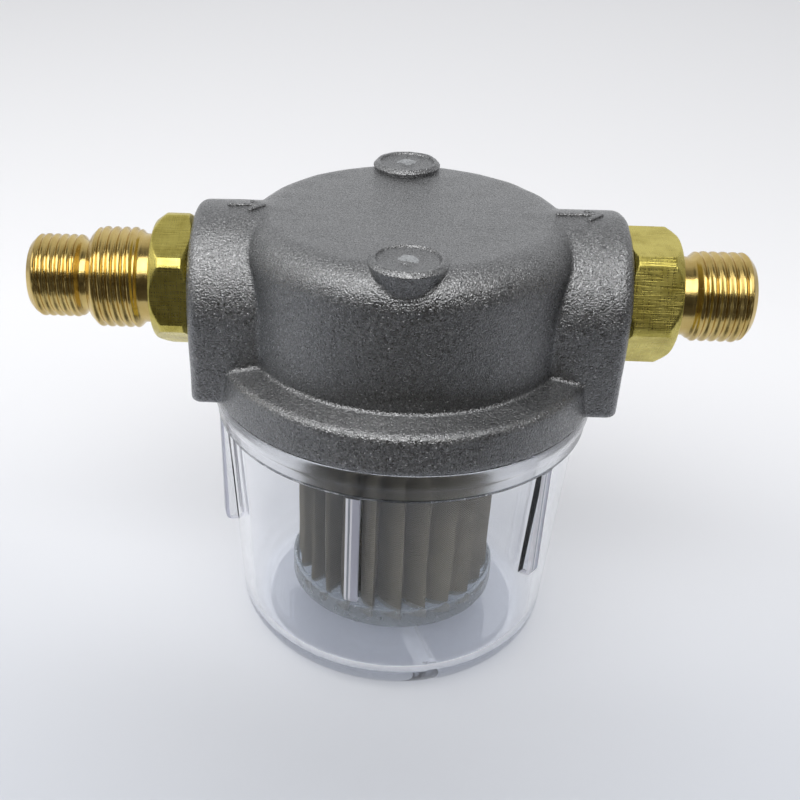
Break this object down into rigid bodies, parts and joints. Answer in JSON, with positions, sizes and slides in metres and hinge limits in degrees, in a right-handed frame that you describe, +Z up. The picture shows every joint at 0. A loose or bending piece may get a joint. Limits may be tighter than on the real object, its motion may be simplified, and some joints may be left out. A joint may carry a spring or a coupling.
{
  "type": "inline oil strainer with clear bowl",
  "caption": "Inline oil strainer: cast head with two side ports and brass unions, clear screw-on bowl, pleated mesh cartridge.",
  "frame": {"origin": "on the bowl's axis, at the underside of the bowl that the strainer stands on", "axes": "+X along the ports from the inlet to the outlet, +Z up along the bowl's axis, -Y the front"},
  "size_m": [0.1125, 0.0628, 0.0757],
  "materials": {
    "cast_aluminium": "sand-blasted casting",
    "union_brass": "turned and bright",
    "bowl_plastic": "clear moulded plastic",
    "mesh_steel": "fine woven wire",
    "cap_plastic": "translucent moulded plastic",
    "core_plastic": "moulded",
    "seal_rubber": "matt",
    "washer_fibre": "pressed fibre"
  },
  "bodies": {
    "head": {"head_casting": "cast_aluminium", "inlet_union": "union_brass", "outlet_union": "union_brass", "inlet_seal": "washer_fibre", "outlet_seal": "washer_fibre", "centre_nipple": "union_brass", "bowl_gasket": "seal_rubber"},
    "cartridge": {"filter_mesh": "mesh_steel", "mesh_seam_strip": "mesh_steel", "core_tube": "core_plastic", "top_cap": "core_plastic", "bottom_cap": "cap_plastic", "cap_grommet": "seal_rubber"},
    "bowl": {"bowl": "bowl_plastic"}
  },
  "joints": [
    {"name": "bowl_drop", "type": "slide", "parent": "head", "child": "cartridge", "axis": [0, 0, -1], "range_m": [0, 0.003]},
    {"name": "bowl_turn", "type": "hinge", "parent": "cartridge", "child": "bowl", "pos_m": [0, 0, 0.02], "axis": [0, 0, -1], "range_deg": [0, 720]}
  ],
  "couplings": [
    {"joint": "bowl_drop", "follows": "bowl_turn", "m_per_rad": 0.00023873}
  ]
}
